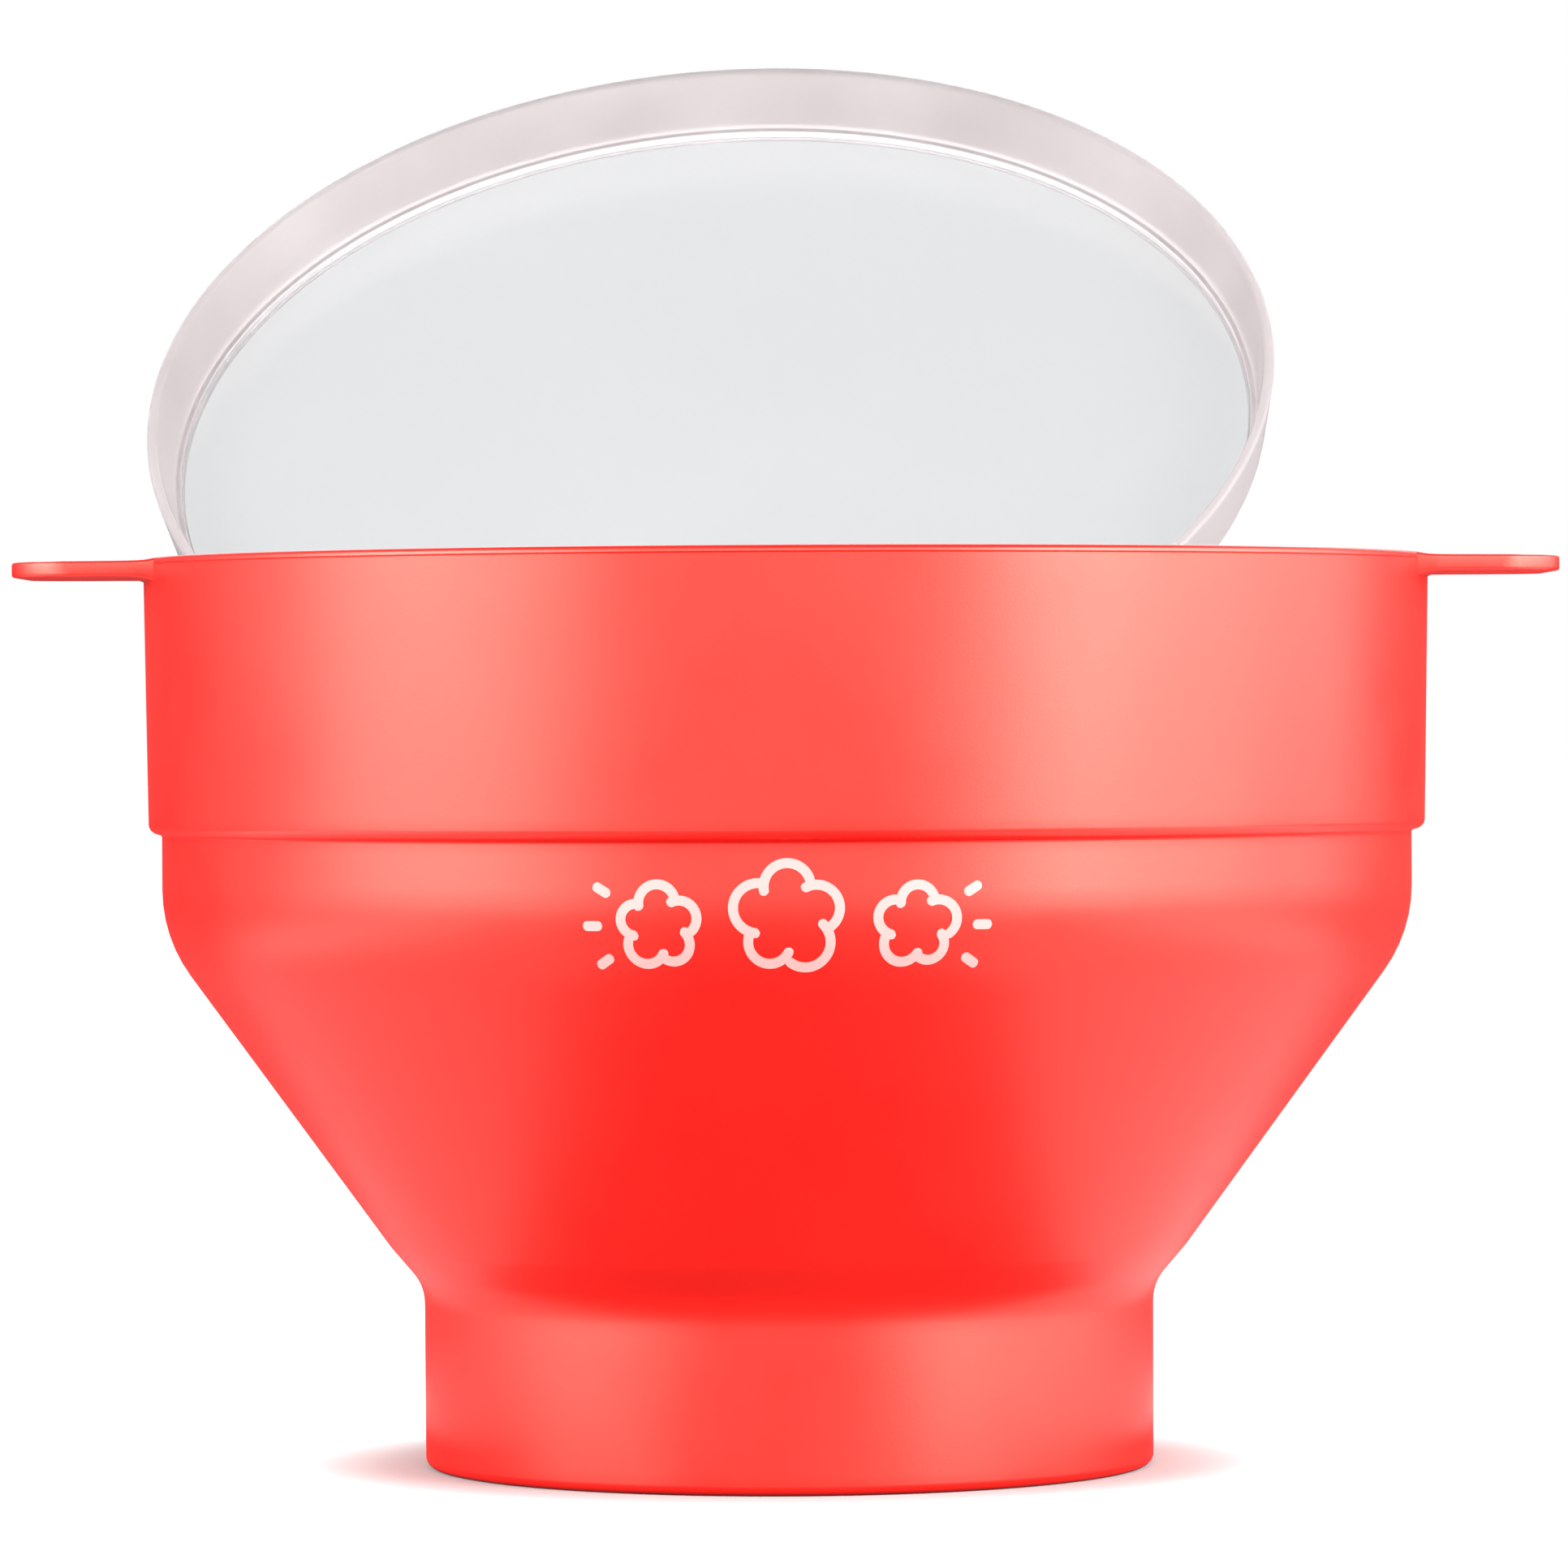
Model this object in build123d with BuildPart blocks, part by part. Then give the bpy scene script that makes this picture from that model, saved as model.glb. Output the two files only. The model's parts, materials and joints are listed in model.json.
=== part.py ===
"""Collapsible popcorn bowl with two grips and a leaning lid, in millimetres, +Z up.

The origin is the centre of the base cup's underside. The bowl is one soft moulding, drawn here as one
section and cut into rigid zones: the base cup with its floor, a nest of fold rings that slide past each
other as the wall folds, and the rim band with its grips. The lid is drawn open, leaning behind the bowl.
"""

import os
from math import cos, radians, sin

from build123d import *

# Bowl: outer corners of the section, before rounding
foot_radius = 57.0
neck_radius = 57.1
neck_height = 28.3
crease_radius = 62.3
crease_height = 34.4
shoulder_radius = 97.7
shoulder_height = 83.1
step_height = 99.0
band_foot_radius = 99.75
band_foot_height = 99.6
rim_radius = 100.4
rim_height = 142.1

# Bowl: thicknesses and roundings
wall = 2.4
floor_thickness = 3.0
foot_round = 1.6
neck_round = 7.5
crease_round = 10.0
shoulder_round = 23.0
step_round = 0.4
band_foot_round = 1.6
floor_round = 5.0
rim_round = 0.8

# Raised ring inside the cup that shows how far to fill it with kernels
fill_mark_height = 19.0
fill_mark_proud = 0.7

# Base: upright cut between the floor and the cup's wall
floor_radius = 52.5

# Folding wall: upright cuts between the base cup, the fold rings and the rim band
fold_inner_radius = 60.0
fold_outer_radius = 95.0
fold_ring_count = 6
fold_gap = 0.3

# Grips: flat tabs that stick out at the rim
grip_reach = 120.0
grip_underside = 139.2
grip_thickness = 2.4
grip_root_width = 50.0
grip_tip_width = 45.0
grip_corner_round = 9.5
grip_edge_round = 0.5

# Lid: a dished ring with a thin window, placed by the centre of its lip
lid_centre = Vector(-13.5, 183.0, 176.9)
lid_lean = 37.9  # degrees from level
lid_swing = 7.34  # degrees about the vertical
lip_radius = 101.0
lip_width = 1.8
lid_depth = 13.4
lid_taper = 2.4
lid_shoulder_round = 3.0
window_radius = 96.2
window_thickness = 1.2
window_bead = 1.0
window_cover = 0.5
cover_thickness = 0.8

os.makedirs("parts", exist_ok=True)


def save(piece: Part, name: str) -> None:
    """Labels a finished piece and writes it as its own STEP file."""
    piece.label = name
    export_step(piece, f"parts/{name}.step")


def inset_corner(before: tuple, corner: tuple, after: tuple) -> tuple:
    """Returns the corner of the wall's inner line, one thickness inside an outer corner."""
    arriving = (Vector(*corner) - Vector(*before)).normalized()
    leaving = (Vector(*after) - Vector(*corner)).normalized()
    inward = Vector(-arriving.Y - leaving.Y, arriving.X + leaving.X)
    shift = inward * (wall / (1 + arriving.dot(leaving)))
    return (corner[0] + shift.X, corner[1] + shift.Y)


# Outer corners from the foot up to the rim, and the inner corners that run beside them
outer_corners = [
    (foot_radius, 0),
    (neck_radius, neck_height),
    (crease_radius, crease_height),
    (shoulder_radius, shoulder_height),
    (shoulder_radius, step_height),
    (band_foot_radius, band_foot_height),
    (rim_radius, rim_height),
]
inner_corners = [
    inset_corner(*outer_corners[index - 1 : index + 2]) for index in range(1, len(outer_corners) - 1)
]

# Whole bowl in section, from the axis out to the wall and up to the rim
with BuildSketch(Plane.XZ) as bowl_section:
    with BuildLine():
        FilletPolyline(
            (0, 0),
            *outer_corners,
            radius=[foot_round, neck_round, crease_round, shoulder_round, step_round, band_foot_round],
        )
        Line((rim_radius, rim_height), (rim_radius - wall, rim_height))
        FilletPolyline(
            (rim_radius - wall, rim_height),
            *reversed(inner_corners),
            (foot_radius - wall, floor_thickness),
            (0, floor_thickness),
            radius=[
                step_round,
                step_round,
                shoulder_round - wall,
                crease_round - wall,
                neck_round + wall,
                floor_round,
            ],
        )
        Line((0, floor_thickness), (0, 0))
    make_face()
    with Locations((neck_radius - wall, fill_mark_height)):
        Circle(fill_mark_proud)


def cut_zone(inner: float, outer: float) -> Sketch:
    """Returns the stretch of the bowl's section that lies between two radii."""
    with BuildSketch(Plane.XZ) as zone:
        add(bowl_section.sketch)
        with Locations(((inner + outer) / 2, rim_height / 2)):
            Rectangle(outer - inner, rim_height * 2, mode=Mode.INTERSECT)
    return zone.sketch


# Base: the flat floor, then the cup's upright wall with the start of the neck
with BuildPart() as base_floor:
    add(cut_zone(0, floor_radius))
    revolve(axis=Axis.Z)
save(base_floor.part, "base_floor")

with BuildPart() as base_cup:
    add(cut_zone(floor_radius, fold_inner_radius - fold_gap / 2))
    revolve(axis=Axis.Z)
save(base_cup.part, "base_cup")

# Fold rings: the cone, cut by upright cylinders so that neighbours can slide past each other
fold_ring_width = (fold_outer_radius - fold_inner_radius) / fold_ring_count
for index in range(fold_ring_count):
    ring_start = fold_inner_radius + index * fold_ring_width
    with BuildPart() as fold_ring:
        add(cut_zone(ring_start + fold_gap / 2, ring_start + fold_ring_width - fold_gap / 2))
        revolve(axis=Axis.Z)
    save(fold_ring.part, f"fold_ring_{index + 1}")

# Rim band: the top of the shoulder, the upright wall, the step and the deep band above it
with BuildPart() as rim_band:
    add(cut_zone(fold_outer_radius + fold_gap / 2, rim_radius + wall))
    revolve(axis=Axis.Z)
    fillet(rim_band.edges().group_by(Axis.Z)[-1], radius=rim_round)
save(rim_band.part, "rim_band")

# Grips: rounded tabs whose roots follow the band's slightly tapered wall
band_taper = (rim_radius - band_foot_radius) / (rim_height - band_foot_height)
grip_root_radius = rim_radius - band_taper * (rim_height - grip_underside)
grip_root_inset = 20.0
for side, side_name in ((-1, "left"), (1, "right")):
    with BuildPart() as grip:
        with BuildSketch(Plane.XY.offset(grip_underside)) as plan:
            with BuildLine():
                FilletPolyline(
                    (side * (grip_reach - grip_root_inset * 2), -grip_root_width / 2),
                    (side * (grip_reach - grip_root_inset), -grip_root_width / 2),
                    (side * grip_reach, -grip_tip_width / 2),
                    (side * grip_reach, grip_tip_width / 2),
                    (side * (grip_reach - grip_root_inset), grip_root_width / 2),
                    (side * (grip_reach - grip_root_inset * 2), grip_root_width / 2),
                    radius=grip_corner_round,
                    close=True,
                )
            make_face()
        extrude(amount=grip_thickness)
        fillet(
            grip.edges().filter_by(Axis.Z, reverse=True).group_by(Axis.X)[0 if side < 0 else -1],
            radius=grip_edge_round,
        )
        with Locations((0, 0, grip_underside)):
            Cone(
                bottom_radius=grip_root_radius,
                top_radius=grip_root_radius + band_taper * grip_thickness,
                height=grip_thickness,
                align=(Align.CENTER, Align.CENTER, Align.MIN),
                mode=Mode.SUBTRACT,
            )
    save(grip.part, f"grip_{side_name}")

# Lid: its section plane has the lip's radius along x and the depth, away from the hollow, along y
lid_across = Vector(cos(radians(lid_swing)), -sin(radians(lid_swing)), 0)
lid_outward = Vector(
    sin(radians(lid_swing)) * sin(radians(lid_lean)),
    cos(radians(lid_swing)) * sin(radians(lid_lean)),
    -cos(radians(lid_lean)),
)
lid_section = Plane(origin=lid_centre, x_dir=lid_across, z_dir=lid_across.cross(lid_outward))
lid_axis = Axis(lid_centre, lid_outward)
window_top = lid_depth - cover_thickness
window_underside = window_top - window_thickness

with BuildPart() as lid_ring:
    with BuildSketch(lid_section):
        with BuildLine():
            FilletPolyline(
                (lip_radius, 0),
                (lip_radius - lid_taper, lid_depth),
                (window_radius - window_cover, lid_depth),
                radius=lid_shoulder_round,
            )
            Polyline(
                (window_radius - window_cover, lid_depth),
                (window_radius - window_cover, window_top),
                (window_radius, window_top),
                (window_radius, window_underside),
            )
            FilletPolyline(
                (window_radius, window_underside),
                (window_radius + window_bead, window_underside),
                (lip_radius - lip_width, 0),
                radius=window_bead / 2,
            )
            Line((lip_radius - lip_width, 0), (lip_radius, 0))
        make_face()
    revolve(axis=lid_axis)
save(lid_ring.part, "lid_ring")

with BuildPart() as lid_window:
    with BuildSketch(lid_section):
        with BuildLine():
            Polyline(
                (0, window_underside),
                (window_radius, window_underside),
                (window_radius, window_top),
                (0, window_top),
                close=True,
            )
        make_face()
    revolve(axis=lid_axis)
save(lid_window.part, "lid_window")
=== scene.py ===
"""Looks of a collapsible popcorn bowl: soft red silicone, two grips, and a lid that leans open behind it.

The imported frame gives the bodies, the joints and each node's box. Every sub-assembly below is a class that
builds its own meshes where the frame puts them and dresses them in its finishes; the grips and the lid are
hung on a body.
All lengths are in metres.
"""

from __future__ import annotations

import json
import logging
import math
from dataclasses import dataclass
from enum import Enum

import bmesh
import bpy
from mathutils import Matrix, Vector

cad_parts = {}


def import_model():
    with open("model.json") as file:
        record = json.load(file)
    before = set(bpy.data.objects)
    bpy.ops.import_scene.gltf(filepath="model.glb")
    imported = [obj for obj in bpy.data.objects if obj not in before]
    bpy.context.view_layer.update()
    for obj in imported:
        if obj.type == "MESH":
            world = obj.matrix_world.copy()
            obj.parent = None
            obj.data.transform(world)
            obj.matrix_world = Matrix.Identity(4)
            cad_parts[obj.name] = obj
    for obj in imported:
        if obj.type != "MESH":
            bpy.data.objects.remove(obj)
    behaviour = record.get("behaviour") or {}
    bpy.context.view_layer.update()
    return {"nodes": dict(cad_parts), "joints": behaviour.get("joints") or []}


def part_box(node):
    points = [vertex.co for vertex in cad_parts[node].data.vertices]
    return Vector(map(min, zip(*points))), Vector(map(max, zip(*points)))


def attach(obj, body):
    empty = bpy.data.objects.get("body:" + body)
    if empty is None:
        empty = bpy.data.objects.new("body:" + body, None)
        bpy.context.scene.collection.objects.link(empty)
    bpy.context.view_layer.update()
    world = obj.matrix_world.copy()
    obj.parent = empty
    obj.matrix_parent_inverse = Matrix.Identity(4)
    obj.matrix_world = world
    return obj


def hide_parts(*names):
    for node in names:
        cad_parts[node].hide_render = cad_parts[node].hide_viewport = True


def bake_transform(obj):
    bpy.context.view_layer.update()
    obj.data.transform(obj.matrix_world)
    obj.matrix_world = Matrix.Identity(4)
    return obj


MM = 0.001
SHARP_TURN = math.radians(40)
STRAIGHT_TURN = math.radians(0.5)
ARC_STEP = math.radians(7)
MERGE_REACH = 1e-3 * MM
EMPTY_EDGE = 1e-4 * MM
Point = tuple[float, float]

log = logging.getLogger("popcorn_bowl")


class Body(Enum):
    """The frame's bodies that carry a visible piece."""

    BASE = "base"
    BAND = "band"
    LID = "lid"


class Slot(Enum):
    """The record's material slots."""

    BOWL = "red_silicone"
    LID_WALL = "frosted_silicone"
    LID_PANE = "clear_pane"


class Side(Enum):
    """Which side of the bowl a grip is on, as the sign of its x."""

    LEFT = -1
    RIGHT = 1


# ---------------------------------------------------------------- sections


@dataclass(frozen=True)
class Corner:
    """One corner of a turned section, before it is rounded.

    Args:
        radius: Distance from the turning axis.
        height: Height along the axis.
        rounding: Radius of the arc that replaces the corner, or 0 for a sharp one.
    """

    radius: float
    height: float
    rounding: float = 0.0


def corner_arc(before: Vector, corner: Vector, after: Vector, rounding: float) -> list[Vector]:
    """Returns the points of the tangent arc that rounds a corner.

    Args:
        before: The corner before this one.
        corner: The corner that is rounded.
        after: The corner after this one.
        rounding: The arc's radius.

    Returns:
        The arc's points in order, or the corner itself where it is sharp or straight.
    """
    arriving = (corner - before).normalized()
    leaving = (after - corner).normalized()
    turn = arriving.angle_signed(leaving, 0.0)
    if rounding <= 0 or abs(turn) < STRAIGHT_TURN:
        return [corner]
    reach = rounding * math.tan(abs(turn) / 2)
    start = corner - arriving * reach
    # angle_signed is clockwise, so the arc's centre lies to the right of a positive turn
    toward_centre = Vector((arriving.y, -arriving.x)) * math.copysign(1, turn)
    centre = start + toward_centre * rounding
    steps = max(3, math.ceil(abs(turn) / ARC_STEP))
    spoke = start - centre
    return [centre + Matrix.Rotation(-turn * step / steps, 2) @ spoke for step in range(steps + 1)]


def rounded_outline(corners: list[Corner], spacing: float) -> list[Point]:
    """Turns a section's corners into an even line of points.

    Args:
        corners: The corners in order; the first and last stay sharp.
        spacing: The longest step along a straight run.

    Returns:
        Points as (radius, height).
    """
    places = [Vector((corner.radius, corner.height)) for corner in corners]
    rough = [places[0]]
    for index in range(1, len(corners) - 1):
        rough += corner_arc(*places[index - 1 : index + 2], corners[index].rounding)
    rough.append(places[-1])
    line = [rough[0]]
    for start, end in zip(rough, rough[1:]):
        steps = max(1, math.ceil((end - start).length / spacing))
        line += [start.lerp(end, step / steps) for step in range(1, steps + 1)]
    return [(point.x, point.y) for point in line]


# ---------------------------------------------------------------- node trees


class Graph:
    """A node tree that is built node by node, for geometry or for shading."""

    def __init__(self, tree: bpy.types.NodeTree) -> None:
        """Takes over an empty tree."""
        self.tree = tree

    def add(
        self, kind: str, values: dict[str | int, object] | None = None, **settings: object
    ) -> bpy.types.Node:
        """Adds a node.

        Args:
            kind: The node's type.
            values: Its inputs by name or number: a plain value, or a socket to link from.
            **settings: Its own properties.

        Returns:
            The new node.
        """
        node = self.tree.nodes.new(kind)
        for name, value in settings.items():
            setattr(node, name, value)
        for name, value in (values or {}).items():
            if isinstance(value, bpy.types.NodeSocket):
                self.tree.links.new(value, node.inputs[name])
            else:
                node.inputs[name].default_value = value
        return node

    def math(
        self, operation: str, first: object, second: object = 0.0, clamp: bool = False
    ) -> bpy.types.NodeSocket:
        """Adds a math node.

        Args:
            operation: What it works out.
            first: Its first input, a number or a socket.
            second: Its second input, a number or a socket.
            clamp: Whether the result is kept between 0 and 1.

        Returns:
            The result's socket.
        """
        values = {0: first, 1: second}
        return self.add("ShaderNodeMath", values, operation=operation, use_clamp=clamp).outputs[0]

    def socket(self, name: str, kind: str, outward: bool = False, value: object = None) -> None:
        """Adds a named socket to the tree's interface.

        Args:
            name: The socket's name.
            kind: Its type.
            outward: Whether it is an output.
            value: Its starting value.
        """
        way = "OUTPUT" if outward else "INPUT"
        made = self.tree.interface.new_socket(name=name, in_out=way, socket_type=kind)
        if value is not None:
            made.default_value = value


def grown(
    name: str, tree: bpy.types.NodeTree, seed: bpy.types.Mesh, inputs: dict[str, object]
) -> bpy.types.Mesh:
    """Runs a geometry tree on a seed mesh and keeps the result as a plain mesh.

    Args:
        name: The new mesh's name.
        tree: The geometry tree.
        seed: The mesh that the tree starts from.
        inputs: The tree's inputs by name.

    Returns:
        The mesh, with its doubles merged and its faces turned outwards.
    """
    carrier = bpy.data.objects.new(f"{name}_seed", seed)
    bpy.context.scene.collection.objects.link(carrier)
    modifier = carrier.modifiers.new("Grow", "NODES")
    modifier.node_group = tree
    for item in tree.interface.items_tree:
        if item.item_type == "SOCKET" and item.in_out == "INPUT" and item.name in inputs:
            modifier[item.identifier] = inputs[item.name]
    depsgraph = bpy.context.evaluated_depsgraph_get()
    mesh = bpy.data.meshes.new_from_object(carrier.evaluated_get(depsgraph), depsgraph=depsgraph)
    mesh.name = name
    bpy.data.objects.remove(carrier)
    tidy_mesh(mesh)
    return mesh


def tidy_mesh(mesh: bpy.types.Mesh) -> None:
    """Merges doubled points, drops empty faces, turns the faces outwards and marks the sharp edges.

    Args:
        mesh: The closed mesh that is changed.
    """
    work = bmesh.new()
    work.from_mesh(mesh)
    bmesh.ops.remove_doubles(work, verts=work.verts, dist=MERGE_REACH)
    bmesh.ops.dissolve_degenerate(work, edges=work.edges, dist=EMPTY_EDGE)
    bmesh.ops.recalc_face_normals(work, faces=work.faces)
    if work.calc_volume(signed=True) < 0:
        bmesh.ops.reverse_faces(work, faces=work.faces)
    for face in work.faces:
        face.smooth = True
    for edge in work.edges:
        edge.smooth = edge.calc_face_angle(0.0) < SHARP_TURN
    work.to_mesh(mesh)
    work.free()


def placed(name: str, mesh: bpy.types.Mesh) -> bpy.types.Object:
    """Puts a finished mesh into the scene as an object at the origin.

    Args:
        name: The object's name.
        mesh: Its mesh.

    Returns:
        The object.
    """
    piece = bpy.data.objects.new(name, mesh)
    bpy.context.scene.collection.objects.link(piece)
    return piece


def outline_mesh(name: str, outline: list[Point], closed: bool) -> bpy.types.Mesh:
    """Makes a line mesh from a section's points, in its own XY plane.

    Args:
        name: The mesh's name.
        outline: The points in order.
        closed: Whether the last point joins the first.

    Returns:
        The line mesh.
    """
    edges = [(index, index + 1) for index in range(len(outline) - 1)]
    if closed:
        edges.append((len(outline) - 1, 0))
    mesh = bpy.data.meshes.new(name)
    mesh.from_pydata([(x, y, 0.0) for x, y in outline], edges, [])
    return mesh


def lathe_tree() -> bpy.types.NodeTree:
    """Builds the tree that turns a section about the upright axis.

    Returns:
        A geometry tree with inputs Geometry, Segments and Finish. The section is a line mesh whose x is
        the distance from the axis and whose y is the height.
    """
    graph = Graph(bpy.data.node_groups.new("Lathe", "GeometryNodeTree"))
    graph.socket("Geometry", "NodeSocketGeometry")
    graph.socket("Segments", "NodeSocketInt", value=216)
    graph.socket("Finish", "NodeSocketMaterial")
    graph.socket("Geometry", "NodeSocketGeometry", outward=True)
    given = graph.add("NodeGroupInput").outputs
    section = graph.add("GeometryNodeMeshToCurve", {"Mesh": given["Geometry"]})
    # The section is swept round a small hub circle, so it is first pulled in by the hub's radius
    hub_radius = 10 * MM
    pulled = graph.add(
        "GeometryNodeTransform",
        {
            "Geometry": section.outputs["Curve"],
            "Translation": (-hub_radius, 0.0, 0.0),
            "Scale": (1.0, -1.0, 1.0),
        },
    )
    hub = graph.add(
        "GeometryNodeCurvePrimitiveCircle",
        {"Resolution": given["Segments"], "Radius": hub_radius},
        mode="RADIUS",
    )
    upright = graph.add("GeometryNodeSetCurveNormal", {"Curve": hub.outputs["Curve"]}, mode="Z_UP")
    swept = graph.add(
        "GeometryNodeCurveToMesh",
        {"Curve": upright.outputs["Curve"], "Profile Curve": pulled.outputs["Geometry"]},
    )
    finish_tree(graph, swept.outputs["Mesh"], given["Finish"])
    return graph.tree


def finish_tree(graph: Graph, geometry: bpy.types.NodeSocket, finish: bpy.types.NodeSocket) -> None:
    """Ends a geometry tree: real faces, the finish, and the tree's output.

    Args:
        graph: The tree.
        geometry: The socket that holds the finished shape.
        finish: The socket that holds its material.
    """
    real = graph.add("GeometryNodeRealizeInstances", {"Geometry": geometry})
    dressed = graph.add(
        "GeometryNodeSetMaterial", {"Geometry": real.outputs["Geometry"], "Material": finish}
    )
    graph.add("NodeGroupOutput", {"Geometry": dressed.outputs["Geometry"]})


def ink_stroke_tree() -> bpy.types.NodeTree:
    """Builds the tree that lays flat drawn strokes onto the bowl's front as thin ink.

    Returns:
        A geometry tree with inputs Geometry, Stroke Width, Ink Height, Wall Radius, Shoulder Top,
        Shoulder Round and Finish. The strokes are a line mesh whose x runs round the wall and whose y is
        the height above the floor.
    """
    graph = Graph(bpy.data.node_groups.new("Ink strokes", "GeometryNodeTree"))
    graph.socket("Geometry", "NodeSocketGeometry")
    for name in ("Stroke Width", "Ink Height", "Wall Radius", "Shoulder Top", "Shoulder Round"):
        graph.socket(name, "NodeSocketFloat", value=1.0)
    graph.socket("Finish", "NodeSocketMaterial")
    graph.socket("Geometry", "NodeSocketGeometry", outward=True)
    given = graph.add("NodeGroupInput").outputs

    step_share = 0.12
    # Keeps a stroke's end from shrinking to nothing
    least_end = 0.0002
    lines = graph.add("GeometryNodeMeshToCurve", {"Mesh": given["Geometry"]})
    step = graph.math("MULTIPLY", given["Stroke Width"], step_share)
    even = graph.add(
        "GeometryNodeResampleCurve", {"Curve": lines.outputs["Curve"], "Length": step}, mode="LENGTH"
    )
    # A stroke narrows to a half circle at each end
    along = graph.add("GeometryNodeSplineParameter").outputs["Length"]
    total = graph.add("GeometryNodeSplineLength").outputs["Length"]
    half = graph.math("MULTIPLY", given["Stroke Width"], 0.5)
    to_end = graph.math("MINIMUM", along, graph.math("SUBTRACT", total, along))
    share = graph.math("DIVIDE", to_end, half, clamp=True)
    away = graph.math("SUBTRACT", 1.0, share)
    left_over = graph.math("SUBTRACT", 1.0 + least_end, graph.math("MULTIPLY", away, away))
    roundness = graph.math("SQRT", left_over)
    section = graph.add(
        "GeometryNodeCurvePrimitiveQuadrilateral",
        {"Width": given["Stroke Width"], "Height": given["Ink Height"]},
        mode="RECTANGLE",
    )
    upright = graph.add("GeometryNodeSetCurveNormal", {"Curve": even.outputs["Curve"]}, mode="Z_UP")
    ribbon = graph.add(
        "GeometryNodeCurveToMesh",
        {
            "Curve": upright.outputs["Curve"],
            "Profile Curve": section.outputs["Curve"],
            "Scale": roundness,
            "Fill Caps": True,
        },
    )
    # Wrap the flat ribbon round the wall, whose radius shrinks below the shoulder's top
    spot = graph.add("GeometryNodeInputPosition").outputs["Position"]
    flat = graph.add("ShaderNodeSeparateXYZ", {"Vector": spot}).outputs
    below = graph.math("MAXIMUM", graph.math("SUBTRACT", given["Shoulder Top"], flat["Y"]), 0.0)
    squares = graph.math(
        "SUBTRACT",
        graph.math("MULTIPLY", given["Shoulder Round"], given["Shoulder Round"]),
        graph.math("MULTIPLY", below, below),
    )
    inset = graph.math("SUBTRACT", given["Shoulder Round"], graph.math("SQRT", squares))
    wall = graph.math("SUBTRACT", given["Wall Radius"], inset)
    radius = graph.math("ADD", wall, flat["Z"])
    angle = graph.math("DIVIDE", flat["X"], given["Wall Radius"])
    ahead = graph.math("MULTIPLY", radius, graph.math("COSINE", angle))
    wrapped = graph.add(
        "ShaderNodeCombineXYZ",
        {
            "X": graph.math("MULTIPLY", radius, graph.math("SINE", angle)),
            "Y": graph.math("MULTIPLY", ahead, -1.0),
            "Z": flat["Y"],
        },
    )
    laid = graph.add(
        "GeometryNodeSetPosition",
        {"Geometry": ribbon.outputs["Mesh"], "Position": wrapped.outputs["Vector"]},
    )
    finish_tree(graph, laid.outputs["Geometry"], given["Finish"])
    return graph.tree


# ---------------------------------------------------------------- finishes


def moulded_grain_group() -> bpy.types.NodeTree:
    """Builds the shared shader group for a moulded surface's fine grain and its faint cloudiness.

    Returns:
        A group with inputs Place, Grain Scale and Cloud Scale, and outputs Grain and Cloud.
    """
    graph = Graph(bpy.data.node_groups.new("Moulded grain", "ShaderNodeTree"))
    graph.socket("Place", "NodeSocketVector")
    graph.socket("Grain Scale", "NodeSocketFloat", value=2400.0)
    graph.socket("Cloud Scale", "NodeSocketFloat", value=45.0)
    graph.socket("Grain", "NodeSocketFloat", outward=True)
    graph.socket("Cloud", "NodeSocketFloat", outward=True)
    given = graph.add("NodeGroupInput").outputs
    grain = graph.add(
        "ShaderNodeTexNoise",
        {"Vector": given["Place"], "Scale": given["Grain Scale"], "Detail": 2.0, "Roughness": 0.6},
    )
    cloud = graph.add(
        "ShaderNodeTexNoise",
        {"Vector": given["Place"], "Scale": given["Cloud Scale"], "Detail": 4.0, "Roughness": 0.55},
    )
    spread = graph.add(
        "ShaderNodeMapRange", {"Value": cloud.outputs[0], "From Min": 0.32, "From Max": 0.68}
    )
    graph.add("NodeGroupOutput", {"Grain": grain.outputs[0], "Cloud": spread.outputs["Result"]})
    return graph.tree


def lint_group() -> bpy.types.NodeTree:
    """Builds the shared shader group for sparse specks of dust, which silicone attracts.

    Returns:
        A group with inputs Place, Cell Scale, Speck Size and Share, and the output Specks.
    """
    graph = Graph(bpy.data.node_groups.new("Lint", "ShaderNodeTree"))
    graph.socket("Place", "NodeSocketVector")
    graph.socket("Cell Scale", "NodeSocketFloat", value=160.0)
    graph.socket("Speck Size", "NodeSocketFloat", value=0.03)
    graph.socket("Share", "NodeSocketFloat", value=0.2)
    graph.socket("Specks", "NodeSocketFloat", outward=True)
    given = graph.add("NodeGroupInput").outputs
    smallest_speck = 0.4
    cells = graph.add(
        "ShaderNodeTexVoronoi", {"Vector": given["Place"], "Scale": given["Cell Scale"]}, feature="F1"
    )
    chance = graph.add("ShaderNodeSeparateColor", {"Color": cells.outputs["Color"]}).outputs
    size = graph.math("MULTIPLY", given["Speck Size"], graph.math("ADD", chance["Green"], smallest_speck))
    near = graph.math("LESS_THAN", cells.outputs["Distance"], size)
    chosen = graph.math("LESS_THAN", chance["Red"], given["Share"])
    graph.add("NodeGroupOutput", {"Specks": graph.math("MULTIPLY", near, chosen)})
    return graph.tree


@dataclass(frozen=True)
class Effects:
    """The shader groups that the finishes share."""

    grain: bpy.types.NodeTree
    lint: bpy.types.NodeTree


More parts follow.
